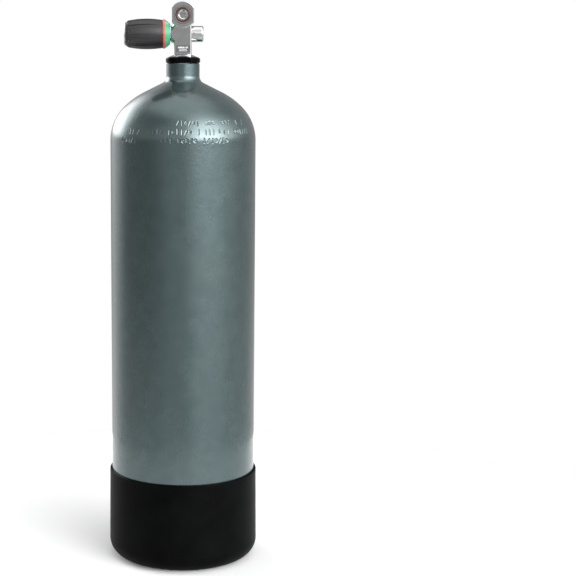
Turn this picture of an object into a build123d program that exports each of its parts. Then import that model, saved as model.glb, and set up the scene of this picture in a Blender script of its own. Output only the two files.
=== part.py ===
from build123d import *
import os
from math import cos, radians, sin, sqrt, tan

os.makedirs("parts", exist_ok=True)

# A steel scuba cylinder in its rubber boot, with a yoke valve. All lengths are in millimetres.
# Origin: centre of the boot's underside. +Z is up, -Y is the side that the outlet faces,
# and the knob points along -X.

# ---------------------------------------------------------------- driving dimensions
# steel cylinder
TANK_R = 92.1
WALL = 5.0
BOOT_LEDGE = 0.6           # the wall inside the boot is ground back by this much
TANK_FOOT_Z = 6.0          # lowest point of the rounded bottom
CROWN_R = 130.0            # shallow middle of the bottom
BOTTOM_KNUCKLE_R = 50.0    # tight bend between the bottom and the wall
SHOULDER_Z = 538.9         # top of the straight wall
SHOULDER_R = 60.0          # first, tighter bend of the shoulder
SHOULDER_TURN = 45.0       # degrees turned by the first bend
UPPER_R = 98.0             # second, wider bend
CONE_SLOPE = 26.5          # degrees from level, where the shoulder runs up to the neck
NECK_R = 21.0
NECK_BLEND_R = 9.0
NECK_TOP_Z = 635.6
NECK_BORE_R = 13.2
NECK_ROOT_Z = 609.0        # inner end of the neck's thread
NECK_SEAL_R = 14.98        # centre line of the sealing ring under the flange
NECK_SEAL_WIRE = 1.7
NECK_SEAL_GROOVE_R = 16.9
NECK_SEAL_FLOOR = NECK_TOP_Z - 3.5

# rubber boot
BOOT_H = 114.5
BOOT_FOOT_R = 95.7
BOOT_LIP_R = 95.0
BOOT_CORNER_R = 21.3
BOOT_GAP = 0.15            # rubber to steel
LEDGE_Z = BOOT_H + 0.05    # the wall's full thickness starts just above the boot's lip
RIB_COUNT = 12
RIB_T = 3.0
DRAIN_R = 6.0
DRAIN_CIRCLE_R = 56.0
HUB_HOLE_R = 14.0
HUB_COLLAR_T = 3.0

# valve body
FLANGE_R = 21.7
FLANGE_Z = NECK_TOP_Z + 0.15
FLANGE_T = 7.0             # height of its rim, below the cone that leads up to the column
FLANGE_BEVEL = 1.4
FLANGE_CONE_H = 3.3
FLANGE_CONE_R = 12.0       # top of the cone
FLANGE_ACROSS = 38.6       # across the two wrench flats
STEM_THREAD_R = 13.05
STEM_THREAD_DEPTH = 1.0
STEM_PITCH = 1.814
STEM_CRESTS = 10
STEM_PLAIN = 4.2           # plain length above the thread
DIP_R = 4.0
DIP_SOCKET = 7.0
DIP_LENGTH = 52.0
COLUMN_W = 22.0
COLUMN_D = 21.0
COLUMN_FOOT_Z = 645.8
COLUMN_EDGE_R = 1.8
OUTLET_Z = 695.9
BOSS_R = 16.6
BOSS_W = 28.0
BOSS_FRONT = 12.2          # boss face, measured forward of the valve's axis
BOSS_BACK = 10.5           # flush with the column's back
HANDLE_Z = 672.2
BARREL_R = 10.4
BARREL_END = 24.0
STUB_R = 10.05
STUB_END = 25.7
GAS_R = 2.0

# outlet
MOUTH_R = 12.3
MOUTH_DEPTH = 1.4
OUTLET_BORE_R = 11.45
OUTLET_FLOOR = -3.0        # floor of the threaded bore, behind the valve's axis
INSERT_R = 11.35
INSERT_LENGTH = 12.0
INSERT_FACE = BOSS_FRONT - MOUTH_DEPTH + 0.4
GROOVE_DEPTH = 2.0
FACE_RING_R = 8.17         # centre line of the sealing ring
FACE_RING_WIRE = 1.31
INSERT_HEX = 8.0
YOKE_DIMPLE_R = 4.5
YOKE_DIMPLE_DEPTH = 1.5

# shut-off mechanism, measured outwards (towards the knob) from the valve's axis
SEAT_LIP = 3.8
CHAMBER_FLOOR = 3.0
CHAMBER_R = 7.0
PLUG_R = 6.93
PLUG_IN = 4.6
PLUG_OUT = 11.4
PLUG_SLOT_FLOOR = 7.4
SLOT_T = 2.1
SEAT_DISC_R = 4.6
BONNET_BORE_R = 8.55
BONNET_R = 8.5
BONNET_IN = 14.0
BONNET_HEAD_IN = 24.85
BONNET_HEAD_OUT = 31.0
BONNET_HEX = 19.5
COLLAR_BORE_R = 6.0
COLLAR_STEP = 20.0
SPINDLE_R = 4.5
SPINDLE_BORE_R = 4.56
SPINDLE_SEAL_R = 3.87      # centre line of the spindle's sealing ring
SPINDLE_SEAL_WIRE = 0.62
SPINDLE_SEAL_Z = 24.8
SPINDLE_SEAL_FLOOR_R = 3.2
COLLAR_R = 5.93
COLLAR_IN = 14.6
COLLAR_OUT = 18.4
TANG_IN = 9.8
TANG_T = 1.9
TANG_W = 10.0
SQUARE = 6.0
SQUARE_IN = 33.0
SQUARE_OUT = 59.0
SPINDLE_END = 69.9
SPINDLE_THREAD_R = 2.9

# burst disc in the plain stub, measured outwards from the valve's axis
BURST_BORE_R = 6.5
BURST_FLOOR = 9.0
BURST_R = BURST_BORE_R - 0.05
BURST_VENT = BURST_FLOOR + 4.5
BURST_PLUG_RECESS = 2.2
BURST_HEX = 6.0

# knob
KNOB_IN = 25.2
KNOB_OUT = 74.0
GRIP_OUT = 72.3            # outer end of the rubber
GRIP_END_R = 14.2
GRIP_IN_R = 17.7
GRIP_MIDDLE_R = 18.35
GRIP_OUT_R = 15.9          # where the rubber turns in towards its outer end
GRIP_TURN_Z = 69.0
RIB_OUT = 70.2             # outer end of the raised ribs
RIB_IN_R = 17.6
RIB_MIDDLE_R = 19.15
RIB_OUT_R = 16.9
WIDEST_Z = 46.0            # where grip and ribs are widest
DIMPLE_R = 1.6             # round dimple in the outer end of each rib
PARTING_Z = 65.3           # fine moulding line round the grip
PARTING_W = 0.3
PARTING_GRIP_R = 16.35     # floor of the line in the grip, and in the ribs
PARTING_RIB_R = 17.25
GREEN_IN = 16.2
GREEN_OUT = 22.4
RING_BORE_R = 12.2
RING_IN_R = 17.5           # radius at the knob's inner end
KNOB_RIBS = 9
KNOB_RIB_W = 7.4
KNOB_CAVITY_R = 14.5
KNOB_FLOOR = 35.0
KNOB_RECESS_R = 12.2
HUB_R = 9.5
NUT_HEX = 9.0
SPRING_WIRE = 0.65
SPRING_R = 7.0
SPRING_TURNS = 2.5
SPRING_PITCH = 2.0
WASHER_R = 9.4
WASHER_IN = SQUARE_OUT + SPRING_TURNS * SPRING_PITCH + 2 * SPRING_WIRE + 0.1

# label plate on the column
BADGE_W = 17.4
BADGE_H = 8.8
BADGE_T = 0.5
BADGE_Z = 653.6

# ---------------------------------------------------------------- frames and helpers
# Along the handle line the local Z is the distance outwards, towards the knob, and local X is up.
HANDLE_LINE = Location((0, 0, HANDLE_Z), (0, -90, 0))
# Along the outlet line the local Z is the distance forwards, and local Y is up.
OUTLET_LINE = Location((0, 0, OUTLET_Z), (90, 0, 0))


def turned(*outline):
    """Revolve an outline about Z. Each point is (radius, height); lines and arcs may be mixed in."""
    edges = outline if isinstance(outline[0], (Edge, Wire)) else [Polyline(*outline, close=True)]
    return revolve(Plane.XZ * make_face(edges), Axis.Z)


def ring(inner, outer, low, high, edge=0.0):
    """A flat ring or tube about Z, with its outer edges bevelled by edge."""
    rim = [(outer, low), (outer, high)]
    if edge:
        rim = [(outer - edge, low), (outer, low + edge), (outer, high - edge), (outer - edge, high)]
    return turned((inner, low), *rim, (inner, high))


def disc(outer, low, high):
    return Pos(0, 0, low) * Cylinder(outer, high - low, align=(Align.CENTER, Align.CENTER, Align.MIN))


def hexagon(across_flats, low, high):
    outline = RegularPolygon(across_flats / 2, 6, major_radius=False)
    return Pos(0, 0, low) * extrude(outline, high - low)


def hex_nut(across_flats, low, high, edge):
    """A hexagon whose corners are bevelled by the turning tool at both ends."""
    corner = across_flats / sqrt(3)
    return hexagon(across_flats, low, high) & ring(0, corner, low, high, edge)


def o_ring(centre_r, wire_r, height):
    return Pos(0, 0, height) * Torus(centre_r, wire_r)


def drill(start, end, radius):
    """A straight hole between two points of the valve."""
    run = Vector(*end) - Vector(*start)
    return Plane(origin=start, z_dir=run) * disc(radius, 0, run.length)


def arc(centre, radius, from_deg, to_deg):
    """An arc in the outline plane; 0 degrees points away from the axis and 90 degrees points up."""
    at = [
        (centre[0] + radius * cos(radians(a)), centre[1] + radius * sin(radians(a)))
        for a in (from_deg, (from_deg + to_deg) / 2, to_deg)
    ]
    return ThreePointArc(*at)


def chain(*pieces):
    """Join arcs and bare points into one closed outline, with straight lines in between."""
    edges, first, last = [], None, None
    for piece in pieces:
        start = piece if isinstance(piece, tuple) else tuple(piece @ 0)[:2]
        end = piece if isinstance(piece, tuple) else tuple(piece @ 1)[:2]
        if last is not None and (Vector(*last) - Vector(*start)).length > 1e-6:
            edges.append(Line(last, start))
        if not isinstance(piece, tuple):
            edges.append(piece)
        first = first or start
        last = end
    edges.append(Line(last, first))
    return edges


def save(node, shape):
    """Write one sub-part as solids only."""
    solids = shape.solids()
    export_step(solids[0] if len(solids) == 1 else Compound(children=solids), f"parts/{node}.step")


# ---------------------------------------------------------------- steel cylinder
CONE_TURN = 90 - CONE_SLOPE
FIRST_BEND = (TANK_R - SHOULDER_R, SHOULDER_Z)
SECOND_BEND = tuple(
    c - (UPPER_R - SHOULDER_R) * f(radians(SHOULDER_TURN)) for c, f in zip(FIRST_BEND, (cos, sin))
)
CONE_FOOT = tuple(c + UPPER_R * f(radians(CONE_TURN)) for c, f in zip(SECOND_BEND, (cos, sin)))
BLEND_R = NECK_R + NECK_BLEND_R
CONE_HEAD_R = BLEND_R - NECK_BLEND_R * cos(radians(CONE_TURN))
CONE_HEAD_Z = CONE_FOOT[1] + (CONE_FOOT[0] - CONE_HEAD_R) * tan(radians(CONE_SLOPE))
BLEND_Z = CONE_HEAD_Z + NECK_BLEND_R * sin(radians(CONE_TURN))

CROWN_RISE = sqrt((CROWN_R - BOTTOM_KNUCKLE_R) ** 2 - (TANK_R - BOTTOM_KNUCKLE_R) ** 2)
CROWN_Z = TANK_FOOT_Z + CROWN_R
KNUCKLE_Z = CROWN_Z - CROWN_RISE
KNUCKLE = (TANK_R - BOTTOM_KNUCKLE_R, KNUCKLE_Z)
CROWN_HALF = 90 - Vector(KNUCKLE[0], CROWN_RISE).get_angle(Vector(1, 0))


def bottom_outline(inset):
    """Rounded bottom from the axis out to the wall, moved inwards by inset."""
    return [
        arc((0, CROWN_Z), CROWN_R - inset, -90, -90 + CROWN_HALF),
        arc(KNUCKLE, BOTTOM_KNUCKLE_R - inset, -90 + CROWN_HALF, 0),
    ]


def cylinder():
    outer = bottom_outline(BOOT_LEDGE) + [
        (TANK_R - BOOT_LEDGE, LEDGE_Z),
        (TANK_R, LEDGE_Z),
        arc(FIRST_BEND, SHOULDER_R, 0, SHOULDER_TURN),
        arc(SECOND_BEND, UPPER_R, SHOULDER_TURN, CONE_TURN),
        arc((BLEND_R, BLEND_Z), NECK_BLEND_R, 180 + CONE_TURN, 180),
        (NECK_R, NECK_TOP_Z - 0.8),
        (NECK_R - 0.8, NECK_TOP_Z),
        (0, NECK_TOP_Z),
    ]
    root_r = CONE_HEAD_R - 6
    cavity = bottom_outline(WALL) + [
        arc(FIRST_BEND, SHOULDER_R - WALL, 0, SHOULDER_TURN),
        arc(SECOND_BEND, UPPER_R - WALL, SHOULDER_TURN, CONE_TURN),
        (root_r, NECK_ROOT_Z - 4),
        (NECK_BORE_R, NECK_ROOT_Z),
        (0, NECK_ROOT_Z),
    ]
    steel = turned(*chain(*outer)) - turned(*chain(*cavity))
    seal_groove = disc(NECK_SEAL_GROOVE_R, NECK_SEAL_FLOOR, NECK_TOP_Z + 1)
    return steel - disc(NECK_BORE_R, NECK_ROOT_Z - 1, NECK_TOP_Z + 1) - seal_groove


# ---------------------------------------------------------------- rubber boot
def boot():
    corner = (BOOT_FOOT_R - BOOT_CORNER_R, BOOT_CORNER_R)
    inner_r = TANK_R - BOOT_LEDGE + BOOT_GAP
    inner_corner_r = inner_r - corner[0]
    floor_z = corner[1] - inner_corner_r
    skin = turned(*chain(
        (0, 0),
        arc(corner, BOOT_CORNER_R, -90, 0),
        (BOOT_LIP_R, BOOT_H - 1.2),
        (BOOT_LIP_R - 0.5, BOOT_H - 0.3),
        (BOOT_LIP_R - 1.2, BOOT_H),
        (0, BOOT_H),
    ))
    cavity = turned(*chain(
        (0, floor_z),
        arc(corner, inner_corner_r, -90, 0),
        (inner_r, BOOT_H + 1),
        (0, BOOT_H + 1),
    ))
    tank_space = turned(*chain(*bottom_outline(BOOT_LEDGE - 0.3), (0, KNUCKLE_Z)))
    shell = skin - cavity
    rib_top = KNUCKLE_Z - 1
    collar_r = HUB_HOLE_R + 6
    rib = Pos((collar_r + 2 + TANK_R) / 2, 0, rib_top / 2) * Box(TANK_R - collar_r - 2, RIB_T, rib_top)
    ribs = [Rot(0, 0, i * 360 / RIB_COUNT) * rib for i in range(RIB_COUNT)]
    collar = ring(collar_r, collar_r + HUB_COLLAR_T, 0.5, rib_top)
    web = (Part() + [collar, *ribs]) & skin
    body = shell + (web - tank_space)
    drains = [
        Rot(0, 0, (i + 0.5) * 360 / RIB_COUNT) * Pos(DRAIN_CIRCLE_R, 0, 0) * disc(DRAIN_R, -1, floor_z + 1)
        for i in range(RIB_COUNT)
    ]
    return body - [disc(HUB_HOLE_R, -1, floor_z + 1), *drains]


# ---------------------------------------------------------------- valve body
STEM_LOW_Z = FLANGE_Z - STEM_PLAIN - STEM_CRESTS * STEM_PITCH - 1.5


def stem():
    """Threaded stem under the flange, as rings of a rounded thread."""
    root = STEM_THREAD_R - STEM_THREAD_DEPTH
    top = FLANGE_Z - STEM_PLAIN
    points = [(0, FLANGE_Z + 1), (STEM_THREAD_R, FLANGE_Z + 1), (STEM_THREAD_R, top)]
    for i in range(STEM_CRESTS):
        crest = top - i * STEM_PITCH
        points += [
            (root, crest - 0.40 * STEM_PITCH),
            (root, crest - 0.55 * STEM_PITCH),
            (STEM_THREAD_R, crest - 0.90 * STEM_PITCH),
            (STEM_THREAD_R, crest - STEM_PITCH),
        ]
    return turned(*points, (root, STEM_LOW_Z), (0, STEM_LOW_Z))


def flange():
    top = FLANGE_Z + FLANGE_T
    plate = turned(
        (0, FLANGE_Z), (FLANGE_R - FLANGE_BEVEL, FLANGE_Z), (FLANGE_R, FLANGE_Z + FLANGE_BEVEL),
        (FLANGE_R, top - FLANGE_BEVEL), (FLANGE_R - FLANGE_BEVEL, top),
        (FLANGE_CONE_R, top + FLANGE_CONE_H), (0, top + FLANGE_CONE_H),
    )
    return plate & Pos(0, 0, FLANGE_Z) * Box(3 * FLANGE_R, FLANGE_ACROSS, 4 * FLANGE_T)


def column():
    """Square column on a small bevelled foot."""
    low, high = COLUMN_FOOT_Z, OUTLET_Z
    block = Pos(0, 0, (low + high) / 2) * Box(COLUMN_W, COLUMN_D, high - low)
    block = fillet(block.edges().filter_by(Axis.Z), COLUMN_EDGE_R)
    block = chamfer(block.faces().sort_by(Axis.Z)[0].edges(), 1.0)
    foot_h = low - FLANGE_Z - FLANGE_T + 2
    foot = Pos(0, 0, low + 0.5 - foot_h / 2) * Box(COLUMN_W - 3, COLUMN_D - 3, foot_h + 1)
    return block + foot


def boss():
    """Round boss with two flat cheeks, its face a little proud of the column."""
    depth = BOSS_FRONT + BOSS_BACK
    outline = Circle(BOSS_R) & Rectangle(BOSS_W, 3 * BOSS_R)
    block = Pos(0, 0, -BOSS_BACK) * extrude(outline, depth)
    ends = block.faces().sort_by(Axis.Z)
    block = fillet(ends[-1].edges() + ends[0].edges(), 0.9)
    return OUTLET_LINE * block


def handle_barrel():
    """Barrel for the shut-off mechanism, with a wide concave root where it leaves the column."""
    root_r, root = 6.5, COLUMN_W / 2 - 0.4
    barrel = ring(0, BARREL_R, 0, BARREL_END, 0.5)
    flare = turned(*chain(
        (0, 0), (BARREL_R + 3.6, 0),
        arc((BARREL_R + root_r - 0.3, root + root_r), root_r, 240, 180),
        (0, root + root_r),
    ))
    cheeks = Box(3 * BARREL_R + 20, COLUMN_D, 60)
    return HANDLE_LINE * (barrel + (flare & cheeks))


def stub():
    rim = 2.0
    solid = turned(*chain(
        (0, 0), (STUB_R, 0), arc((STUB_R - rim, -STUB_END + rim), rim, 0, -90), (0, -STUB_END)
    ))
    return HANDLE_LINE * solid


def valve_passages():
    """Everything drilled and bored out of the valve body."""
    handle = [
        disc(CHAMBER_R, CHAMBER_FLOOR, BARREL_END + 1),
        disc(BONNET_BORE_R, BONNET_IN - 0.4, BARREL_END + 1),
        disc(BURST_BORE_R, -STUB_END - 1, -BURST_FLOOR),
        disc(GAS_R, -BURST_FLOOR - 1, SEAT_LIP + 1),
        Pos(0, -STUB_R, -BURST_VENT) * Box(3.2, STUB_R, 1.3),
    ]
    outlet = [
        disc(MOUTH_R, BOSS_FRONT - MOUTH_DEPTH, BOSS_FRONT + 1),
        disc(OUTLET_BORE_R, OUTLET_FLOOR, BOSS_FRONT + 1),
        disc(4.5, OUTLET_FLOOR - 2.5, BOSS_FRONT),
        disc(YOKE_DIMPLE_R, -BOSS_BACK - 1, -BOSS_BACK + YOKE_DIMPLE_DEPTH),
    ]
    return (
        [HANDLE_LINE * hole for hole in handle]
        + [OUTLET_LINE * hole for hole in outlet]
        + [
            disc(GAS_R, STEM_LOW_Z - 1, HANDLE_Z),
            disc(DIP_R + 0.02, STEM_LOW_Z - 1, STEM_LOW_Z + DIP_SOCKET),
            drill((-8.5, 0, HANDLE_Z + 5), (-1, -OUTLET_FLOOR + 1.3, OUTLET_Z - 2), 1.6),
        ]
    )


def seat_nozzle():
    lip = ring(GAS_R, 3.2, CHAMBER_FLOOR - 1, SEAT_LIP, 0.3)
    return HANDLE_LINE * lip


def valve_body():
    solid = stem() + flange() + column() + boss() + handle_barrel() + stub()
    return (solid - valve_passages()) + seat_nozzle()


def dip_tube():
    """Open tube that keeps rust and water in the cylinder out of the valve."""
    high = STEM_LOW_Z + DIP_SOCKET
    return ring(DIP_R - 1.0, DIP_R, high - DIP_LENGTH, high)


# ---------------------------------------------------------------- outlet insert
def outlet_insert():
    face = INSERT_FACE
    body = ring(0, INSERT_R, face - INSERT_LENGTH, face, 0.5)
    groove = ring(FACE_RING_R - 1.4, FACE_RING_R + 1.4, face - GROOVE_DEPTH, face + 1)
    socket = hexagon(INSERT_HEX, face - 5.5, face + 1)
    mouth = turned((0, face + 0.01), (5.6, face + 0.01), (4.4, face - 1.0), (0, face - 1.0))
    return OUTLET_LINE * (body - groove - socket - mouth - disc(2.6, face - INSERT_LENGTH - 1, face))


def face_ring():
    floor = INSERT_FACE - GROOVE_DEPTH
    return OUTLET_LINE * o_ring(FACE_RING_R, FACE_RING_WIRE, floor + FACE_RING_WIRE + 0.02)


def insert_seal():
    back = INSERT_FACE - INSERT_LENGTH
    return OUTLET_LINE * o_ring(7.5, 0.8, (back + OUTLET_FLOOR) / 2)


# ---------------------------------------------------------------- shut-off mechanism
def bonnet_nut():
    thread = ring(0, BONNET_R, BONNET_IN, BONNET_HEAD_IN + 0.5, 0.4)
    head = hex_nut(BONNET_HEX, BONNET_HEAD_IN, BONNET_HEAD_OUT, 0.8)
    bores = [
        disc(COLLAR_BORE_R, BONNET_IN - 1, COLLAR_STEP),
        disc(SPINDLE_BORE_R, COLLAR_STEP - 1, BONNET_HEAD_OUT + 1),
    ]
    return HANDLE_LINE * (thread + head - bores)


def bonnet_washer():
    return HANDLE_LINE * ring(BONNET_R + 0.1, BARREL_R - 0.2, BARREL_END + 0.02, BONNET_HEAD_IN - 0.02, 0.15)


def spindle():
    groove_low, groove_high = SPINDLE_SEAL_Z - 0.8, SPINDLE_SEAL_Z + 0.8
    shaft = turned(
        (0, COLLAR_IN), (COLLAR_R, COLLAR_IN), (COLLAR_R, COLLAR_OUT), (SPINDLE_R, COLLAR_OUT),
        (SPINDLE_R, groove_low), (SPINDLE_SEAL_FLOOR_R, groove_low), (SPINDLE_SEAL_FLOOR_R, groove_high),
        (SPINDLE_R, groove_high), (SPINDLE_R, SQUARE_IN), (0, SQUARE_IN),
    )
    tang = Pos(0, 0, (TANG_IN + COLLAR_IN + 1) / 2) * Box(TANG_W, TANG_T, COLLAR_IN + 1 - TANG_IN)
    square = Pos(0, 0, (SQUARE_IN + SQUARE_OUT) / 2) * Box(SQUARE, SQUARE, SQUARE_OUT - SQUARE_IN)
    thread = ring(0, SPINDLE_THREAD_R, SQUARE_OUT - 0.5, SPINDLE_END, 0.5)
    return HANDLE_LINE * (shaft + tang + square + thread)


def spindle_seal():
    return HANDLE_LINE * o_ring(SPINDLE_SEAL_R, SPINDLE_SEAL_WIRE, SPINDLE_SEAL_Z)


def thrust_washer():
    return HANDLE_LINE * ring(SPINDLE_R + 0.05, COLLAR_R, COLLAR_OUT + 0.05, COLLAR_STEP - 0.05)


def seat_plug():
    body = ring(0, PLUG_R, PLUG_IN, PLUG_OUT, 0.4)
    cup = disc(SEAT_DISC_R + 0.05, PLUG_IN - 1, PLUG_IN + 1.4)
    slot = Pos(0, 0, (PLUG_SLOT_FLOOR + PLUG_OUT + 1) / 2) * Box(
        3 * PLUG_R, SLOT_T, PLUG_OUT + 1 - PLUG_SLOT_FLOOR
    )
    return HANDLE_LINE * (body - cup - slot)


def seat_disc():
    return HANDLE_LINE * ring(0, SEAT_DISC_R, SEAT_LIP + 0.05, PLUG_IN + 1.35, 0.15)


# ---------------------------------------------------------------- knob
def barrel_curve(in_r, middle_r, out_r, out):
    """The knob's long gentle bulge, as (radius, distance outwards)."""
    return ThreePointArc((in_r, KNOB_IN + 1.2), (middle_r, WIDEST_Z), (out_r, out))


def knob_hub():
    """Metal core that carries the knob on the spindle's square, keyed into the grip by four lugs."""
    core = ring(0, HUB_R, KNOB_FLOOR, SQUARE_OUT, 0.4)
    lug = Pos(HUB_R, 0, (KNOB_FLOOR + SQUARE_OUT) / 2) * Box(3.2, 3.0, 16)
    core += [Rot(0, 0, 90 * i) * lug for i in range(4)]
    hole = Pos(0, 0, (KNOB_FLOOR + SQUARE_OUT) / 2) * Box(SQUARE + 0.06, SQUARE + 0.06, 60)
    return HANDLE_LINE * (core - hole)


def knob_grip():
    """Moulded rubber barrel with raised ribs that fade out towards its inner end."""
    base = turned(*chain(
        (0, KNOB_IN), (RING_IN_R - 0.1, KNOB_IN),
        barrel_curve(GRIP_IN_R, GRIP_MIDDLE_R, GRIP_OUT_R, GRIP_TURN_Z),
        (GRIP_OUT_R - 0.4, GRIP_TURN_Z + 1.4),
        (GRIP_END_R, GRIP_OUT),
        (0, GRIP_OUT),
    ))
    rib_skin = turned(*chain(
        (0, KNOB_IN + 0.4), (RING_IN_R - 0.1, KNOB_IN + 0.4),
        barrel_curve(RIB_IN_R, RIB_MIDDLE_R, RIB_OUT_R, RIB_OUT - 1.8),
        (RIB_OUT_R - 0.3, RIB_OUT - 0.9),
        (RIB_OUT_R - 1.0, RIB_OUT),
        (0, RIB_OUT),
    ))
    half = KNOB_RIB_W / 2
    round_z = RIB_OUT - half
    plan = Pos((KNOB_IN + round_z) / 2, 0) * Rectangle(round_z - KNOB_IN, KNOB_RIB_W)
    plan += Pos(round_z, 0) * Circle(half)
    # the plan lies along the handle line and is pushed out from the axis to cut one rib from the skin
    rib_cutter = Plane(origin=(0, 0, 0), x_dir=(0, 0, 1), z_dir=(1, 0, 0)) * extrude(plan, 30)
    rib_cutter -= disc(KNOB_CAVITY_R + 0.3, 0, KNOB_OUT)
    rib = rib_skin & rib_cutter
    rib -= Pos(RIB_OUT_R + 1.0, 0, RIB_OUT - 2.9) * Sphere(DIMPLE_R)
    rib -= ring(PARTING_RIB_R, RIB_MIDDLE_R + 3, PARTING_Z, PARTING_Z + PARTING_W)
    base -= ring(PARTING_GRIP_R, RIB_MIDDLE_R + 3, PARTING_Z, PARTING_Z + PARTING_W)
    grip = base + [Rot(0, 0, i * 360 / KNOB_RIBS) * rib for i in range(KNOB_RIBS)]
    grip -= disc(KNOB_CAVITY_R, KNOB_IN - 1, KNOB_FLOOR)
    grip -= disc(HUB_R + 0.02, KNOB_FLOOR - 1, SQUARE_OUT + 1)
    grip -= disc(KNOB_RECESS_R, SQUARE_OUT, GRIP_OUT + 1)
    return HANDLE_LINE * grip - knob_hub()


def end_ring():
    """Pale rim that closes the outer end of the grip."""
    spigot_r = KNOB_RECESS_R - 0.05
    bore_r = 10.6
    return HANDLE_LINE * turned(
        (bore_r, GRIP_OUT - 1.6), (spigot_r, GRIP_OUT - 1.6), (spigot_r, GRIP_OUT),
        (GRIP_END_R, GRIP_OUT), (GRIP_END_R, KNOB_OUT - 1.1), (GRIP_END_R - 0.6, KNOB_OUT - 0.4),
        (GRIP_END_R - 1.7, KNOB_OUT), (bore_r + 1.4, KNOB_OUT), (bore_r, KNOB_OUT - 1.0),
    )


def red_ring():
    """Indicator ring against the inner end of the grip."""
    return HANDLE_LINE * turned(
        (RING_BORE_R, GREEN_OUT), (RING_IN_R, GREEN_OUT), (RING_IN_R + 0.8, GREEN_OUT + 0.9),
        (RING_IN_R + 0.8, KNOB_IN - 0.5), (RING_IN_R + 0.3, KNOB_IN), (RING_BORE_R, KNOB_IN),
    )


def green_ring():
    """Cone-shaped indicator ring beside the red one."""
    return HANDLE_LINE * turned(
        (RING_BORE_R, GREEN_IN), (13.0, GREEN_IN), (13.3, GREEN_IN + 0.4),
        (RING_IN_R, GREEN_OUT - 0.6), (RING_IN_R, GREEN_OUT), (RING_BORE_R, GREEN_OUT),
    )


def knob_spring():
    path = Helix(SPRING_PITCH, SPRING_PITCH * SPRING_TURNS, SPRING_R)
    wire = sweep(Plane(origin=path @ 0, z_dir=path % 0) * Circle(SPRING_WIRE), path, is_frenet=True)
    return HANDLE_LINE * Pos(0, 0, SQUARE_OUT + SPRING_WIRE + 0.05) * wire


def spring_washer():
    return HANDLE_LINE * turned(
        (SPINDLE_THREAD_R + 0.05, WASHER_IN), (WASHER_R, WASHER_IN), (WASHER_R, WASHER_IN + 1.8),
        (WASHER_R - 0.8, WASHER_IN + 1.8), (WASHER_R - 0.8, WASHER_IN + 0.9),
        (SPINDLE_THREAD_R + 0.05, WASHER_IN + 0.9),
    )


def retaining_nut():
    low = WASHER_IN + 0.92
    nut = hex_nut(NUT_HEX, low, low + 3.4, 0.5)
    return HANDLE_LINE * (nut - disc(SPINDLE_THREAD_R + 0.02, low - 1, low + 5))


# ---------------------------------------------------------------- burst disc in the plain stub
def burst_gasket():
    return HANDLE_LINE * ring(3.0, BURST_R, -BURST_FLOOR - 0.9, -BURST_FLOOR - 0.02)


def burst_disc():
    return HANDLE_LINE * disc(BURST_R, -BURST_FLOOR - 1.3, -BURST_FLOOR - 0.92)


def burst_plug():
    """Hollow screw that clamps the burst disc; a cross hole lets the gas out through the stub's slot."""
    inner, outer = -BURST_FLOOR - 1.32, -STUB_END + BURST_PLUG_RECESS
    body = ring(0, BURST_R, outer, inner, 0.4)
    vent = Pos(0, 0, -BURST_VENT) * Rot(90, 0, 0) * Cylinder(0.9, 3 * BURST_R)
    socket = hexagon(BURST_HEX, outer - 1, outer + 4)
    return HANDLE_LINE * (body - disc(1.6, -BURST_VENT - 1.5, inner + 1) - vent - socket)


# ---------------------------------------------------------------- label plate
def badge():
    plate = RectangleRounded(BADGE_W, BADGE_H, 1.2)
    return Location((0, -COLUMN_D / 2, BADGE_Z), (90, 0, 0)) * extrude(plate, BADGE_T)


# ---------------------------------------------------------------- write the sub-parts
save("cylinder", cylinder())
save("boot", boot())
save("neck_o_ring", o_ring(NECK_SEAL_R, NECK_SEAL_WIRE, NECK_SEAL_FLOOR + NECK_SEAL_WIRE + 0.05))
save("valve_body", valve_body())
save("dip_tube", dip_tube())
save("outlet_insert", outlet_insert())
save("face_o_ring", face_ring())
save("insert_o_ring", insert_seal())
save("bonnet_nut", bonnet_nut())
save("bonnet_washer", bonnet_washer())
save("spindle", spindle())
save("spindle_o_ring", spindle_seal())
save("thrust_washer", thrust_washer())
save("seat_plug", seat_plug())
save("seat_disc", seat_disc())
save("knob_hub", knob_hub())
save("knob_grip", knob_grip())
save("knob_end_ring", end_ring())
save("red_ring", red_ring())
save("green_ring", green_ring())
save("knob_spring", knob_spring())
save("spring_washer", spring_washer())
save("retaining_nut", retaining_nut())
save("burst_gasket", burst_gasket())
save("burst_disc", burst_disc())
save("burst_plug", burst_plug())
save("badge", badge())
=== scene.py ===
import math
import random

import bmesh
import bpy
import numpy as np
from mathutils import Matrix, Vector


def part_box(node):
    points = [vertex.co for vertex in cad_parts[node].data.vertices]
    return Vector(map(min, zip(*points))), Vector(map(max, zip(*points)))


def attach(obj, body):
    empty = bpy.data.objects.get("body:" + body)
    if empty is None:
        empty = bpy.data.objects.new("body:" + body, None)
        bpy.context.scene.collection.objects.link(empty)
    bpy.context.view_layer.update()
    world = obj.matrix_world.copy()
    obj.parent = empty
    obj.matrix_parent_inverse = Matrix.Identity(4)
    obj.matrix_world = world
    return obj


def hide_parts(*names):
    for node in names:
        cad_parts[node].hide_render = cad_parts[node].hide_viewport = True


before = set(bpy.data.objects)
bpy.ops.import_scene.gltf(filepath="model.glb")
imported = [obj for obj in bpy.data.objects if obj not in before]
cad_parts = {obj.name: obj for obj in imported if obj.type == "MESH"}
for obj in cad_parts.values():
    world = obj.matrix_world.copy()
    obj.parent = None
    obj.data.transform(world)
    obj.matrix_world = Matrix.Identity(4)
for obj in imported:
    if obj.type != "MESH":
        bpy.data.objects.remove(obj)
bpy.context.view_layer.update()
scene = bpy.context.scene
nodes_by_name = {name: bpy.data.objects[name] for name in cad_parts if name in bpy.data.objects}

# ---------------------------------------------------------------- small tools for shader nodes


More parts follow.
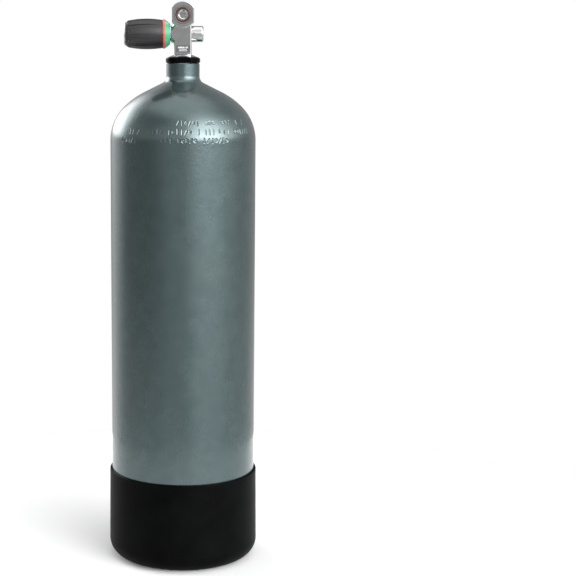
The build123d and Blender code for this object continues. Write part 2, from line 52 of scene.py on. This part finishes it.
def new_material(name):
    """A material with an empty tree that holds a Principled shader and the output."""
    made = bpy.data.materials.new(name)
    made.use_nodes = True
    tree = made.node_tree
    tree.nodes.clear()
    shader = tree.nodes.new("ShaderNodeBsdfPrincipled")
    output = tree.nodes.new("ShaderNodeOutputMaterial")
    tree.links.new(shader.outputs["BSDF"], output.inputs["Surface"])
    return made, tree, shader


def add(tree, kind, inputs=(), **settings):
    """Add a node, set its properties, and fill or link its inputs."""
    node = tree.nodes.new(kind)
    for key, value in settings.items():
        setattr(node, key, value)
    for key, value in dict(inputs).items():
        if isinstance(value, bpy.types.NodeSocket):
            tree.links.new(value, node.inputs[key])
        else:
            node.inputs[key].default_value = value
    return node


def maths(tree, operation, a, b=0.0):
    return add(tree, "ShaderNodeMath", {0: a, 1: b}, operation=operation).outputs[0]


def remap(tree, value, low, high, to_low, to_high, smooth=False):
    """Carry a range onto another and hold it at the ends; smooth eases in and out."""
    node = add(
        tree, "ShaderNodeMapRange",
        {"Value": value, "From Min": low, "From Max": high, "To Min": to_low, "To Max": to_high},
        interpolation_type="SMOOTHSTEP" if smooth else "LINEAR",
    )
    return node.outputs["Result"]


def mix(tree, factor, a, b):
    """A colour between a (factor 0) and b (factor 1)."""
    # the node has sockets of the same name for every kind of data, so they are found by identifier
    node = add(tree, "ShaderNodeMix", data_type="RGBA")
    for key, value in (("Factor_Float", factor), ("A_Color", a), ("B_Color", b)):
        socket = next(s for s in node.inputs if s.identifier == key)
        if isinstance(value, bpy.types.NodeSocket):
            tree.links.new(value, socket)
        else:
            socket.default_value = value
    return next(s for s in node.outputs if s.identifier == "Result_Color")


def place(tree):
    """Object coordinates in metres."""
    return tree.nodes.new("ShaderNodeTexCoord").outputs["Object"]


def noise(tree, at, scale, detail=4.0, roughness=0.5, stretch=None):
    """Noise from 0 to 1 with about scale lumps to the metre; stretch scales it along x, y and z."""
    if stretch:
        at = add(tree, "ShaderNodeMapping", {"Vector": at, "Scale": stretch}).outputs[0]
    inputs = {"Vector": at, "Scale": scale, "Detail": detail, "Roughness": roughness}
    return add(tree, "ShaderNodeTexNoise", inputs).outputs["Fac"]


def bump(tree, shader, height, strength, distance):
    node = add(tree, "ShaderNodeBump", {"Height": height, "Strength": strength, "Distance": distance})
    tree.links.new(node.outputs["Normal"], shader.inputs["Normal"])


def rgb(r, g, b):
    return (r, g, b, 1.0)


# ---------------------------------------------------------------- materials
def tank_paint():
    """Grey-green metallic paint under a clear coat, with fine flake, faint mottling and light scuffs."""
    made, tree, shader = new_material("tank_paint")
    at = place(tree)
    flake = noise(tree, at, 900.0, 2.0)
    mottle = noise(tree, at, 60.0, 5.0, 0.6)
    cloud = noise(tree, at, 9.0, 3.0)
    level = maths(tree, "ADD", maths(tree, "MULTIPLY", flake, 0.35), maths(tree, "MULTIPLY", mottle, 0.65))
    tone = remap(tree, level, 0.30, 0.70, 0.0, 1.0)
    base = mix(tree, tone, rgb(0.0445, 0.072, 0.0755), rgb(0.0725, 0.110, 0.113))
    cool = mix(tree, remap(tree, cloud, 0.35, 0.65, 0.0, 0.35), base, rgb(0.0715, 0.0975, 0.0985))
    tree.links.new(cool, shader.inputs["Base Color"])
    scuff = noise(tree, at, 26.0, 8.0, 0.7, (1.0, 1.0, 0.25))
    rough = remap(tree, scuff, 0.35, 0.70, 0.24, 0.30)
    tree.links.new(rough, shader.inputs["Roughness"])
    peel = noise(tree, at, 330.0, 2.0)
    wave = noise(tree, at, 28.0, 2.0)
    height = maths(tree, "ADD", maths(tree, "MULTIPLY", peel, 0.40), wave)
    bump(tree, shader, height, 0.36, 0.0009)
    shader.inputs["Metallic"].default_value = 0.72
    shader.inputs["Coat Weight"].default_value = 0.70
    shader.inputs["Coat Roughness"].default_value = 0.09
    shader.inputs["Coat IOR"].default_value = 1.5
    return made


def rubber(name, dark, light, rough_low, rough_high, grain=2600.0, depth=0.00004, scuffs=0.0, gloss=0.5):
    """Moulded rubber: fine grain, uneven gloss and faint dusty scuffs."""
    made, tree, shader = new_material(name)
    at = place(tree)
    patch = noise(tree, at, 22.0, 6.0, 0.65)
    base = mix(tree, remap(tree, patch, 0.35, 0.7, 0.0, 1.0), dark, light)
    if scuffs:
        rub = noise(tree, at, 75.0, 9.0, 0.78, (1.0, 1.0, 0.4))
        dusty = remap(tree, rub, 0.60, 0.74, 0.0, scuffs, smooth=True)
        base = mix(tree, dusty, base, rgb(0.10, 0.105, 0.11))
    tree.links.new(base, shader.inputs["Base Color"])
    tree.links.new(remap(tree, patch, 0.3, 0.7, rough_low, rough_high), shader.inputs["Roughness"])
    bump(tree, shader, noise(tree, at, grain, 3.0), 0.35, depth)
    shader.inputs["Specular IOR Level"].default_value = gloss
    return made


def metal(name, colour, rough_low, rough_high, brush=None):
    """Bare or plated metal with faint uneven polish; brush stretches the marks along one axis."""
    made, tree, shader = new_material(name)
    at = place(tree)
    haze = noise(tree, at, 140.0, 6.0, 0.65)
    fine = noise(tree, at, 900.0, 3.0, 0.6, brush or (1.0, 1.0, 1.0))
    dim = rgb(*(0.85 * c for c in colour[:3]))
    tone = mix(tree, remap(tree, haze, 0.35, 0.75, 1.0, 0.0), dim, colour)
    tree.links.new(tone, shader.inputs["Base Color"])
    tree.links.new(remap(tree, haze, 0.35, 0.75, rough_low, rough_high), shader.inputs["Roughness"])
    bump(tree, shader, fine, 0.25, 0.00002)
    shader.inputs["Metallic"].default_value = 1.0
    return made


def plastic(name, dark, light, rough=0.32):
    """Moulded plastic with slight colour drift and fine surface texture."""
    made, tree, shader = new_material(name)
    at = place(tree)
    drift = noise(tree, at, 120.0, 5.0, 0.6)
    tree.links.new(mix(tree, drift, dark, light), shader.inputs["Base Color"])
    tree.links.new(remap(tree, drift, 0.3, 0.7, rough - 0.05, rough + 0.08), shader.inputs["Roughness"])
    bump(tree, shader, noise(tree, at, 1500.0, 3.0), 0.3, 0.00002)
    shader.inputs["Coat Weight"].default_value = 0.15
    shader.inputs["Coat Roughness"].default_value = 0.2
    return made


# the rim of the valve's flange, coloured black as a painted dark reflection of its chrome, in metres: lower
# height, upper height and inner radius
FLANGE_LOW, FLANGE_HIGH, FLANGE_INNER = 0.6350, 0.6434, 0.0150


def chrome_body():
    """Polished chrome, with the rim of the flange coloured near-black as a painted dark reflection of the
    chrome.
    """
    made, tree, shader = new_material("valve_chrome")
    at = place(tree)
    axes = add(tree, "ShaderNodeSeparateXYZ", {"Vector": at})
    height = axes.outputs["Z"]
    across = maths(tree, "SQRT", maths(
        tree, "ADD",
        maths(tree, "MULTIPLY", axes.outputs["X"], axes.outputs["X"]),
        maths(tree, "MULTIPLY", axes.outputs["Y"], axes.outputs["Y"]),
    ))
    below = maths(tree, "LESS_THAN", height, FLANGE_HIGH)
    above = maths(tree, "GREATER_THAN", height, FLANGE_LOW)
    outside = maths(tree, "GREATER_THAN", across, FLANGE_INNER)
    # mask of the flange rim for a painted dark reflection: a near-black, less metallic colour that stands in
    # for the dark surroundings its chrome mirrors
    painted_reflection_rim = maths(tree, "MULTIPLY", maths(tree, "MULTIPLY", below, above), outside)
    haze = noise(tree, at, 120.0, 6.0, 0.65)
    patch = remap(tree, haze, 0.35, 0.7, 0.0, 1.0)
    chrome = mix(tree, patch, rgb(0.60, 0.603, 0.607), rgb(0.65, 0.653, 0.657))
    tree.links.new(mix(tree, painted_reflection_rim, chrome, rgb(0.0012, 0.0012, 0.0014)), shader.inputs["Base Color"])
    polish = remap(tree, haze, 0.35, 0.7, 0.05, 0.09)
    rough = maths(tree, "ADD", polish, maths(tree, "MULTIPLY", painted_reflection_rim, 0.07))
    tree.links.new(rough, shader.inputs["Roughness"])
    tree.links.new(remap(tree, painted_reflection_rim, 0.0, 1.0, 1.0, 0.0), shader.inputs["Metallic"])
    bump(tree, shader, noise(tree, at, 70.0, 2.0), 0.05, 0.0003)
    shader.inputs["Specular IOR Level"].default_value = 0.06
    return made


PAINT = tank_paint()
BOOT = rubber(
    "boot_rubber", rgb(0.0008, 0.0009, 0.0010), rgb(0.0022, 0.0025, 0.0026), 0.40, 0.50,
    scuffs=0.016, gloss=0.03,
)
GRIP = rubber(
    "knob_rubber", rgb(0.012, 0.011, 0.012), rgb(0.020, 0.019, 0.021), 0.34, 0.46,
    grain=3200.0, depth=0.00002,
)
SEAL = rubber(
    "seal_rubber", rgb(0.040, 0.008, 0.007), rgb(0.075, 0.016, 0.013), 0.30, 0.42,
    grain=4000.0, depth=0.00001,
)
CHROME = chrome_body()
STEEL = metal("plain_metal", rgb(0.66, 0.67, 0.68), 0.20, 0.32, (1.0, 6.0, 1.0))
RIM = metal("rim_metal", rgb(0.60, 0.61, 0.62), 0.22, 0.34)
BRASS = metal("brass", rgb(0.72, 0.53, 0.25), 0.18, 0.32)
COPPER = metal("copper", rgb(0.78, 0.42, 0.28), 0.22, 0.36)
WHITE = plastic("white_plastic", rgb(0.72, 0.71, 0.68), rgb(0.80, 0.79, 0.76))
RED = plastic("red_plastic", rgb(0.50, 0.060, 0.040), rgb(0.58, 0.080, 0.055))
GREEN = plastic("green_plastic", rgb(0.030, 0.27, 0.135), rgb(0.045, 0.33, 0.17))
BADGE = plastic("badge_plastic", rgb(0.060, 0.065, 0.070), rgb(0.085, 0.090, 0.095), 0.28)

USED = {
    "cylinder": PAINT, "boot": BOOT, "valve_body": CHROME,
    "neck_o_ring": SEAL, "face_o_ring": SEAL, "insert_o_ring": SEAL, "spindle_o_ring": SEAL,
    "dip_tube": STEEL, "outlet_insert": CHROME, "bonnet_nut": CHROME, "bonnet_washer": WHITE,
    "spindle": BRASS, "thrust_washer": WHITE, "seat_plug": BRASS, "seat_disc": WHITE,
    "knob_hub": BRASS, "knob_grip": GRIP, "knob_end_ring": RIM, "red_ring": RED, "green_ring": GREEN,
    "knob_spring": STEEL, "spring_washer": STEEL, "retaining_nut": STEEL,
    "burst_gasket": COPPER, "burst_disc": COPPER, "burst_plug": CHROME, "badge": BADGE,
}
for node, used in USED.items():
    for slot in nodes_by_name[node].material_slots:
        slot.material = used

# ---------------------------------------------------------------- steel cylinder with its stamped marks
MM = 0.001


def arc_points(centre, radius, start, end, count):
    """Points on an arc; 0 degrees points away from the axis and 90 degrees points up."""
    turns = np.radians(np.linspace(start, end, count))
    return [(centre[0] + radius * math.cos(t), centre[1] + radius * math.sin(t)) for t in turns]


def line_points(start, end, count):
    """Points on a straight line, both ends included."""
    return [tuple(point) for point in np.linspace(start, end, count)]


# the cylinder's outline, in millimetres
TANK_R = 92.1
BEND_R, BEND_Z = 60.0, 538.9     # the shoulder's first bend, and the height where it starts
UPPER_R = 98.0           # the shoulder's second, wider bend
CONE_SLOPE = 26.5        # degrees from level, where the shoulder runs up to the neck
NECK_R, NECK_TOP_Z, NECK_EDGE = 21.0, 635.6, 0.8
NECK_BLEND_R, NECK_FOOT_GAP = 9.0, 1.5     # the fillet under the neck, and the plain step above it
BORE_R, BORE_END_Z = 13.2, 609.0
BORE_FLARE_IN, BORE_FLARE_DOWN = 6.0, 4.0  # how the bore's lower end opens out into the cylinder
SEAL_GROOVE_R, SEAL_GROOVE_DEPTH = 16.9, 3.5
CROWN_R, CROWN_Z = 130.0, 136.0  # the bottom's shallow middle, and the height of its centre
KNUCKLE_R = 50.0         # the bottom's tight edge
WALL = 5.0
LEDGE, LEDGE_Z = 0.6, 114.55     # inside the boot the wall stands back by this much, up to this height
HAIR = 0.001             # height of a step that the outline draws as a level ledge
WALL_FOOT_Z = 130.0      # the wall's first ring of points above the boot

STAMP_STEP = 0.42        # spacing of the mesh where the marks are, in millimetres
STAMP_LOW, STAMP_HIGH = -2.0, 31.5     # along the outline, measured from the start of the shoulder's bend
STAMP_GAP = 4.0          # from the last plain ring of points up to the first fine one
STAMP_TURN = 66.0        # the fine mesh covers this many degrees on both sides of the front
COARSE_TURN = 3.0        # degrees between the mesh's columns on the rest of the cylinder
STAMP_DEPTH, STAMP_WIDTH = 0.40, 0.72
LIP_HEIGHT, LIP_PLACE, LIP_WIDTH = 0.09, 1.45, 0.45     # faint raised lip round each mark
# rows of marks: middle height along the outline, height of the marks, and where they are, in degrees
STAMP_ROWS = [
    (3.2, 5.6, [(-16, 37), (-54, -40)]),
    (13.4, 6.0, [(-26, 8), (12, 38), (44, 60), (-46, -34)]),
    (24.6, 6.0, [(-4, 12), (19, 26), (33, 40), (48, 58)]),
]


def cylinder_outline():
    """(radius, height) in millimetres, from the bottom's centre up the outside and back down the inside."""
    first = (TANK_R - BEND_R, BEND_Z)
    second = tuple(c - (UPPER_R - BEND_R) * math.sqrt(0.5) for c in first)
    cone_turn = 90 - CONE_SLOPE
    foot = tuple(c + UPPER_R * f(math.radians(cone_turn)) for c, f in zip(second, (math.cos, math.sin)))
    blend_r = NECK_R + NECK_BLEND_R
    head_r = blend_r - NECK_BLEND_R * math.cos(math.radians(cone_turn))
    head_z = foot[1] + (foot[0] - head_r) * math.tan(math.radians(CONE_SLOPE))
    blend_z = head_z + NECK_BLEND_R * math.sin(math.radians(cone_turn))
    knuckle_x = TANK_R - KNUCKLE_R
    crown_rise = math.sqrt((CROWN_R - KNUCKLE_R) ** 2 - knuckle_x ** 2)
    crown_end = math.degrees(math.atan2(-crown_rise, knuckle_x))
    knuckle = (knuckle_x, CROWN_Z - crown_rise)
    fine_end = math.degrees(STAMP_HIGH / BEND_R)
    rows_below = int(-STAMP_LOW / STAMP_STEP) + 1
    outside = (
        arc_points((0, CROWN_Z), CROWN_R - LEDGE, -90, crown_end, 5)
        + arc_points(knuckle, KNUCKLE_R - LEDGE, crown_end, 0, 8)[1:]
        + [(TANK_R - LEDGE, LEDGE_Z), (TANK_R, LEDGE_Z + HAIR)]
        + line_points((TANK_R, WALL_FOOT_Z), (TANK_R, BEND_Z + STAMP_LOW - STAMP_GAP), 4)
        + line_points((TANK_R, BEND_Z + STAMP_LOW), (TANK_R, BEND_Z - STAMP_STEP), rows_below)
        + arc_points(first, BEND_R, 0, fine_end, int(STAMP_HIGH / STAMP_STEP) + 1)
        + arc_points(first, BEND_R, fine_end, 45, 8)[1:]
        + arc_points(second, UPPER_R, 45, cone_turn, 10)[1:]
        + line_points(foot, (head_r, head_z), 3)[1:]
        + arc_points((blend_r, blend_z), NECK_BLEND_R, 180 + cone_turn, 180, 12)[1:]
        + line_points((NECK_R, blend_z + NECK_FOOT_GAP), (NECK_R, NECK_TOP_Z - NECK_EDGE), 3)
        + [(NECK_R - NECK_EDGE, NECK_TOP_Z)]
    )
    groove_z = NECK_TOP_Z - SEAL_GROOVE_DEPTH
    inside = (
        [(SEAL_GROOVE_R, NECK_TOP_Z), (SEAL_GROOVE_R, groove_z), (BORE_R, groove_z - HAIR)]
        + [(BORE_R, BORE_END_Z), (head_r - BORE_FLARE_IN, BORE_END_Z - BORE_FLARE_DOWN)]
        + arc_points(second, UPPER_R - WALL, cone_turn, 45, 7)
        + arc_points(first, BEND_R - WALL, 45, 0, 7)[1:]
        + arc_points(knuckle, KNUCKLE_R - WALL, 0, crown_end, 7)
        + arc_points((0, CROWN_Z), CROWN_R - WALL, crown_end, -90, 5)[1:]
    )
    return outside + inside


def stamped_marks():
    """Generic punch marks in rows round the shoulder: bars, slanted bars, dashes and small rings.

    Each stroke is (along, up, along, up) in millimetres, along the wall from the front and up the outline.
    The sizes and gaps drawn below are in millimetres too.
    """
    chance = random.Random(11)
    strokes = []
    for middle, tall, spans in STAMP_ROWS:
        for low, high in spans:
            at, end = math.radians(low) * TANK_R, math.radians(high) * TANK_R
            while at < end:
                half = tall / 2 * chance.uniform(0.75, 1.0)
                centre = middle + chance.uniform(-0.6, 0.6)
                kind = chance.choice(("bar", "bar", "slant", "dash", "ring"))
                if kind == "bar":
                    strokes.append((at, centre - half, at + chance.uniform(-0.4, 0.4), centre + half))
                elif kind == "slant":
                    strokes.append((at - 1.1, centre - half, at + 1.1, centre + half))
                elif kind == "dash":
                    for lift in (-0.4 * half, 0.5 * half):
                        strokes.append((at - 0.9, centre + lift, at + 0.9, centre + lift))
                else:
                    spots = [
                        (at + 1.3 * math.cos(math.radians(a)), centre + 1.7 * math.sin(math.radians(a)))
                        for a in range(0, 361, 45)
                    ]
                    strokes += [(*one, *two) for one, two in zip(spots, spots[1:])]
                at += chance.uniform(4.4, 5.6) if chance.random() < 0.86 else chance.uniform(7.0, 12.0)
    return strokes


def stamp_height(along, up):
    """Height of the surface at points on the shoulder: sunken strokes with a faint lip round each."""
    nearest = np.full(along.shape, np.inf)
    for x0, y0, x1, y1 in stamped_marks():
        run = np.array([x1 - x0, y1 - y0])
        k = np.clip(((along - x0) * run[0] + (up - y0) * run[1]) / float(run @ run), 0, 1)
        nearest = np.minimum(nearest, np.hypot(along - x0 - k * run[0], up - y0 - k * run[1]))
    sunk = np.exp(-((nearest / STAMP_WIDTH) ** 2))
    lip = np.exp(-(((nearest - LIP_PLACE) / LIP_WIDTH) ** 2))
    return LIP_HEIGHT * lip - STAMP_DEPTH * sunk


def revolved(name, outline, turns, swell):
    """Revolve an outline that starts and ends on the axis.

    swell(rings, turns) gives how far each point then moves out and up.
    """
    outline = np.array(outline)
    rings = outline[1:-1]
    r, t = np.meshgrid(rings[:, 0], turns, indexing="ij")
    z = np.repeat(rings[:, 1:], len(turns), axis=1)
    out, up = swell(rings, t)
    r, z = r + out, z + up
    points = np.stack([r * np.sin(t), -r * np.cos(t), z], -1).reshape(-1, 3) * MM
    ends = np.array([[0, 0, outline[0, 1]], [0, 0, outline[-1, 1]]]) * MM
    count, n = len(rings), len(turns)
    i, j = np.meshgrid(np.arange(count - 1), np.arange(n), indexing="ij")
    k = (j + 1) % n
    quads = np.stack([i * n + j, i * n + k, (i + 1) * n + k, (i + 1) * n + j], -1).reshape(-1, 4)
    first, last, last_ring = count * n, count * n + 1, (count - 1) * n
    caps = [(first, (a + 1) % n, a) for a in range(n)]
    caps += [(last, last_ring + a, last_ring + (a + 1) % n) for a in range(n)]
    mesh = bpy.data.meshes.new(name)
    mesh.from_pydata(np.concatenate([points, ends]).tolist(), [], quads.tolist() + caps)
    mesh.polygons.foreach_set("use_smooth", [True] * len(mesh.polygons))
    mesh.set_sharp_from_angle(angle=math.radians(32))
    made = bpy.data.objects.new(name, mesh)
    scene.collection.objects.link(made)
    return made


def shoulder_marks(rings, t):
    """How far each point moves out and up, so that the marks are pressed in along the shoulder's normal."""
    up = np.where(
        rings[:, 1] < BEND_Z, rings[:, 1] - BEND_Z,
        np.arctan2(rings[:, 1] - BEND_Z, rings[:, 0] - TANK_R + BEND_R) * BEND_R,
    )
    lean = np.clip(up, 0, None) / BEND_R
    from_centre = np.hypot(rings[:, 0] - TANK_R + BEND_R, np.clip(rings[:, 1] - BEND_Z, 0, None))
    on_bend = (from_centre > BEND_R - 0.1) & (up > STAMP_LOW) & (up < STAMP_HIGH + 1)
    turn = (t + math.pi) % (2 * math.pi) - math.pi
    depth = np.zeros_like(t)
    depth[on_bend] = stamp_height(turn[on_bend] * TANK_R, np.repeat(up[on_bend][:, None], t.shape[1], axis=1))
    return depth * np.cos(lean)[:, None], depth * np.sin(lean)[:, None]


fine_turns = np.arange(-STAMP_TURN, STAMP_TURN, math.degrees(STAMP_STEP / TANK_R))
coarse_turns = np.arange(STAMP_TURN, 360 - STAMP_TURN - 1, COARSE_TURN)
all_turns = np.radians(np.concatenate([fine_turns, coarse_turns]))
cylinder = revolved("painted_cylinder", cylinder_outline(), all_turns, shoulder_marks)
cylinder.data.materials.append(PAINT)
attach(cylinder, "tank")
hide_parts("cylinder")

# ---------------------------------------------------------------- printed bars on the badge
PRINT = plastic("badge_print", rgb(0.42, 0.43, 0.44), rgb(0.55, 0.56, 0.57), 0.36)
PRINT_PROUD = 0.00008    # how far the bars stand out of the badge, in metres
PRINT_ROUND = 0.00005


def badge_print():
    """Plain light bars in three rows, standing in for whatever a real plate says."""
    low, high = (Vector(corner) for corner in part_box("badge"))
    width, tall = high.x - low.x, high.z - low.z
    # each row: its middle and its thickness up the plate, and where its bars start and end across it
    rows = [
        (0.68, 0.22, [(0.14, 0.62), (0.68, 0.86)]),
        (0.42, 0.10, [(0.24, 0.76)]),
        (0.22, 0.10, [(0.20, 0.80)]),
    ]
    shape = bmesh.new()
    for middle, thick, bars in rows:
        for start, end in bars:
            size = ((end - start) * width, 2 * PRINT_PROUD, thick * tall, 1.0)
            centre = Vector((low.x + (start + end) / 2 * width, low.y, low.z + middle * tall))
            stretch = Matrix.Translation(centre) @ Matrix.Diagonal(size)
            bmesh.ops.create_cube(shape, size=1.0, matrix=stretch)
    mesh = bpy.data.meshes.new("badge_print")
    shape.to_mesh(mesh)
    shape.free()
    made = bpy.data.objects.new("badge_print", mesh)
    scene.collection.objects.link(made)
    made.data.materials.append(PRINT)
    soften = made.modifiers.new("round", "BEVEL")
    soften.width = PRINT_ROUND
    soften.segments = 2
    return made


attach(badge_print(), "tank")

# ---------------------------------------------------------------- floor
FLOOR_R = 0.65           # in metres


def pale_floor():
    """A matt disc that takes the tank's soft shadow."""
    mesh = bpy.data.meshes.new("floor")
    shape = bmesh.new()
    bmesh.ops.create_circle(shape, cap_ends=True, radius=FLOOR_R, segments=96)
    shape.to_mesh(mesh)
    shape.free()
    pale, _, shader = new_material("pale_floor")
    shader.inputs["Base Color"].default_value = rgb(0.70, 0.70, 0.70)
    shader.inputs["Roughness"].default_value = 0.85
    shader.inputs["Emission Color"].default_value = rgb(1, 1, 1)
    shader.inputs["Emission Strength"].default_value = 0.05
    mesh.materials.append(pale)
    made = bpy.data.objects.new("floor", mesh)
    scene.collection.objects.link(made)
    return made


pale_floor()

# ---------------------------------------------------------------- studio surroundings
# brightness of the studio's walls by direction in degrees: 0 is the front (-Y), 90 is the right (+X)
WALLS = [
    (-180, 0.26), (-140, 0.34), (-112, 0.42), (-92, 0.24), (-62, 0.12), (-44, 0.14), (-24, 0.50), (0, 0.76),
    (24, 0.50), (44, 0.30), (62, 0.42), (84, 0.53), (100, 0.45), (118, 0.42), (140, 0.42), (180, 0.26),
]
# two tall windows: strength by direction, strength by height (0 is level, 1 is straight up), and power
RIGHT_WINDOW = (
    [
        (-180, 0), (0, 0), (12, 0.35), (28, 0.95), (42, 1),
        (56, 0.9), (72, 0.42), (92, 0.12), (112, 0), (180, 0),
    ],
    [
        (-1, 0), (0.055, 0), (0.09, 0.7), (0.15, 1.3), (0.24, 0.90),
        (0.45, 0.64), (0.70, 0.42), (0.92, 0), (1, 0),
    ],
    12.0,
)
LEFT_WINDOW = (
    [(-180, 0), (-164, 0), (-154, 0.5), (-146, 1), (-126, 1), (-112, 0.35), (-100, 0), (180, 0)],
    [(-1, 0), (0.02, 0), (0.10, 0.6), (0.20, 1), (0.45, 0.7), (0.62, 0.2), (0.78, 0), (1, 0)],
    8.0,
)
# a grey card in front of the object, level with the valve, gives its flat faces something to mirror
CARD_SIDES = [(-180, 0), (-16, 0), (-8, 1), (8, 1), (16, 0), (180, 0)]
CARD_HEIGHTS = [(-1, 0), (-0.05, 0), (0.0, 1), (0.10, 1), (0.18, 0), (1, 0)]
CARD_GREY = rgb(0.36, 0.36, 0.36)
# above this height the walls fade into a bright ceiling
CEILING_START, CEILING_GLOW = 0.74, rgb(1.55, 1.57, 1.58)
# beyond the floor's edge they fade into plain ground between these two heights
GROUND_START, GROUND_FULL, GROUND_GREY = -0.10, -0.24, rgb(0.60, 0.60, 0.60)


def profile(tree, value, low, high, points):
    """A smooth curve through points, each a value between low and high with its height there."""
    ramp = add(tree, "ShaderNodeValToRGB", {0: remap(tree, value, low, high, 0.0, 1.0)})
    ramp.color_ramp.interpolation = "B_SPLINE"
    stops = ramp.color_ramp.elements
    while len(stops) < len(points):
        stops.new(0.5)
    for stop, (place_on, bright) in zip(stops, points):
        stop.position = (place_on - low) / (high - low)
        stop.color = rgb(bright, bright, bright)
    return ramp.outputs["Color"]


def soft_patch(tree, degrees, rise, sides, heights):
    """Strength of a soft-edged area of the surroundings, from its profiles by direction and by height."""
    across, up = profile(tree, degrees, -180, 180, sides), profile(tree, rise, -1, 1, heights)
    return maths(tree, "MULTIPLY", across, up)


def studio():
    """Soft surroundings that the paint and the chrome mirror; the camera itself sees plain white."""
    world = bpy.data.worlds.new("studio")
    world.use_nodes = True
    tree = world.node_tree
    tree.nodes.clear()
    output = tree.nodes.new("ShaderNodeOutputWorld")
    sky = tree.nodes.new("ShaderNodeBackground")
    tree.links.new(sky.outputs[0], output.inputs[0])
    direction = tree.nodes.new("ShaderNodeTexCoord").outputs["Generated"]
    axes = add(tree, "ShaderNodeSeparateXYZ", {"Vector": direction})
    forward = maths(tree, "MULTIPLY", axes.outputs["Y"], -1.0)
    degrees = maths(tree, "MULTIPLY", maths(tree, "ARCTAN2", axes.outputs["X"], forward), 180 / math.pi)
    rise = axes.outputs["Z"]
    light = profile(tree, degrees, -180, 180, WALLS)
    light = mix(tree, remap(tree, rise, CEILING_START, 1.0, 0.0, 1.0, smooth=True), light, CEILING_GLOW)
    light = mix(tree, remap(tree, rise, GROUND_START, GROUND_FULL, 0.0, 1.0, smooth=True), light, GROUND_GREY)
    for sides, heights, power in (RIGHT_WINDOW, LEFT_WINDOW):
        glow = maths(tree, "MULTIPLY", soft_patch(tree, degrees, rise, sides, heights), power)
        light = add(tree, "ShaderNodeVectorMath", {0: light, 1: glow}, operation="ADD").outputs[0]
    light = mix(tree, soft_patch(tree, degrees, rise, CARD_SIDES, CARD_HEIGHTS), light, CARD_GREY)
    seen = tree.nodes.new("ShaderNodeLightPath").outputs["Is Camera Ray"]
    tree.links.new(mix(tree, seen, light, rgb(1.0, 1.0, 1.0)), sky.inputs["Color"])
    return world


scene.world = studio()


def top_softbox(size=1.6, distance=2.4, elevation=84, power=8):
    """A square area light almost straight above the tank, a little towards the camera; nothing mirrors it."""
    light = bpy.data.lights.new("top_softbox", "AREA")
    light.size = size
    light.energy = power
    lamp = bpy.data.objects.new("top_softbox", light)
    target = Vector((0, 0, 0.42))
    lean = math.radians(elevation)
    lamp.location = target + distance * Vector((0, -math.cos(lean), math.sin(lean)))
    lamp.rotation_mode = "QUATERNION"
    lamp.rotation_quaternion = (target - lamp.location).to_track_quat("-Z", "Y")
    lamp.visible_camera = False
    lamp.visible_glossy = False
    scene.collection.objects.link(lamp)


top_softbox()

# ---------------------------------------------------------------- camera
PITCH_DOWN = math.radians(7.27)
camera = bpy.data.cameras.new("camera")
camera.lens = 88.3
camera.sensor_width = 36
camera.shift_x = 0.1823
camera.shift_y = -0.045
camera.clip_start = 0.05
camera.clip_end = 60
eye = bpy.data.objects.new("camera", camera)
eye.location = (0, -1.800, 0.6125)
eye.rotation_euler = (math.pi / 2 - PITCH_DOWN, 0, 0)
scene.collection.objects.link(eye)
scene.camera = eye
scene.view_settings.view_transform = "Standard"
